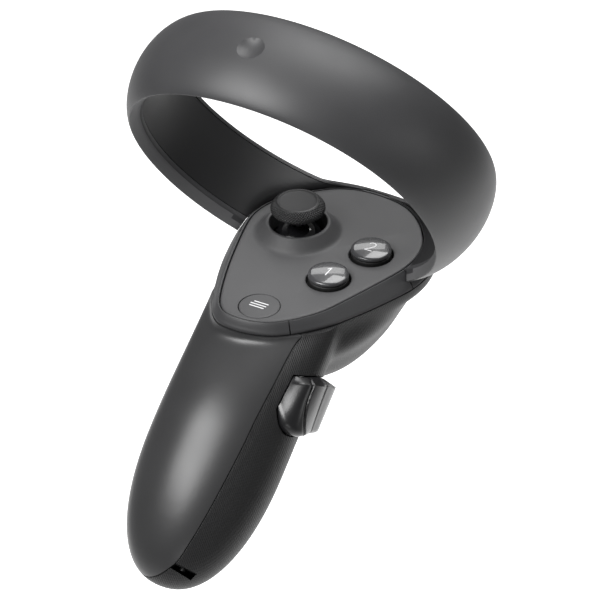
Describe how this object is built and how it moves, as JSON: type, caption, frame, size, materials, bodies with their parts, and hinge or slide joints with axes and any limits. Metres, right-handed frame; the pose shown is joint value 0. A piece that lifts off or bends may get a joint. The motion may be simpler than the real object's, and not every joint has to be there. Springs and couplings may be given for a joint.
{
  "type": "vr motion controller",
  "caption": "Left-hand motion controller: face plate with thumbstick and buttons, tracking ring over the thumb, index trigger, side grip lever, handle with slide-off battery cover.",
  "frame": {"origin": "centre of the closed hand on the handle's centre line", "axes": "+Z along the face plate's outward normal, +Y forward away from the user's palm, +X to the right across the face plate"},
  "size_m": [0.107, 0.1317, 0.1473],
  "materials": {
    "housing_plastic": "fine matte moulding, soft broad highlight",
    "plate_plastic": "matte moulding",
    "liner_plastic": "dark infrared-clear plastic, satin",
    "textured_grip": "fine ribbed texture",
    "gloss_black": "polished",
    "button_cap": "clear-coated dome",
    "black_plastic": "satin",
    "stick_rubber": "knurled edge, smooth top",
    "inner_frame": "plain moulding",
    "circuit_board": "solder mask",
    "flex_circuit": "polyimide film",
    "steel": "plain",
    "magnet_metal": "nickel plate",
    "cell_jacket": "printed film without print",
    "mat_rubber": "silicone"
  },
  "bodies": {
    "housing": {"face_plate": "plate_plastic", "bezel_left": "housing_plastic", "bezel_right": "housing_plastic", "bezel_front": "housing_plastic", "ring_outer_shell": "housing_plastic", "ring_inner_liner": "liner_plastic", "ring_light_strip": "flex_circuit", "grip_shell": "textured_grip", "main_board": "circuit_board", "button_mat": "mat_rubber", "stick_housing": "black_plastic", "board_screw_1": "steel", "board_screw_2": "steel", "board_screw_3": "steel", "board_screw_4": "steel", "trigger_pin": "steel", "trigger_bracket": "steel", "trigger_sensor_board": "circuit_board", "trigger_spring": "steel", "grip_pin": "steel", "grip_spring": "steel", "grip_sensor_board": "circuit_board", "handle_frame": "inner_frame", "cover_magnet": "magnet_metal", "strap_post": "steel", "battery_cell": "cell_jacket", "contact_positive": "steel", "contact_negative_spring": "steel", "vibration_motor": "steel", "frame_screw_1": "steel", "frame_screw_2": "steel"},
    "stick_gimbal": {"stick_gimbal_frame": "steel"},
    "stick_pivot": {"stick_pivot_block": "black_plastic"},
    "stick": {"stick_shaft": "steel", "stick_dome": "gloss_black", "stick_cap": "stick_rubber"},
    "button_1": {"button_1_cap": "button_cap", "button_1_plunger": "black_plastic"},
    "button_2": {"button_2_cap": "button_cap", "button_2_plunger": "black_plastic"},
    "menu": {"menu_button": "plate_plastic"},
    "trigger": {"trigger_lever": "black_plastic", "trigger_magnet": "magnet_metal"},
    "grip_button": {"grip_lever": "gloss_black", "grip_magnet": "magnet_metal"},
    "cover": {"battery_cover": "housing_plastic", "cover_catch_plate": "steel"}
  },
  "joints": [
    {"name": "stick_tilt_forward", "type": "hinge", "parent": "housing", "child": "stick_gimbal", "pos_m": [-0.01, 0.057, 0.0204], "axis": [1, 0, 0], "range_deg": [-13, 13], "stiffness_Nm_per_rad": 0.02},
    {"name": "stick_tilt_sideways", "type": "hinge", "parent": "stick_gimbal", "child": "stick_pivot", "pos_m": [-0.01, 0.057, 0.0204], "axis": [0, 1, 0], "range_deg": [-13, 13], "stiffness_Nm_per_rad": 0.02},
    {"name": "stick_click", "type": "slide", "parent": "stick_pivot", "child": "stick", "axis": [0, 0, -1], "range_m": [0, 0.0005], "stiffness_N_per_m": 2500, "springref_m": -0.0003},
    {"name": "button_1_press", "type": "slide", "parent": "housing", "child": "button_1", "axis": [0, 0, -1], "range_m": [0, 0.0012], "stiffness_N_per_m": 450, "springref_m": -0.0003},
    {"name": "button_2_press", "type": "slide", "parent": "housing", "child": "button_2", "axis": [0, 0, -1], "range_m": [0, 0.0012], "stiffness_N_per_m": 450, "springref_m": -0.0003},
    {"name": "menu_press", "type": "slide", "parent": "housing", "child": "menu", "axis": [0, 0, -1], "range_m": [0, 0.0004], "stiffness_N_per_m": 1500, "springref_m": -0.0001},
    {"name": "trigger_pull", "type": "hinge", "parent": "housing", "child": "trigger", "pos_m": [0, 0.0745, 0.012], "axis": [1, 0, 0], "range_deg": [-16, 0], "stiffness_Nm_per_rad": 0.3, "springref_deg": 8.59},
    {"name": "grip_squeeze", "type": "hinge", "parent": "housing", "child": "grip_button", "pos_m": [0.014, 0.00534, 0.01035], "axis": [0, 0.7853, 0.6191], "range_deg": [0, 8], "stiffness_Nm_per_rad": 0.3, "springref_deg": -8.59},
    {"name": "cover_slide", "type": "slide", "parent": "housing", "child": "cover", "axis": [0, -0.9497, -0.3132], "range_m": [0, 0.08]}
  ]
}
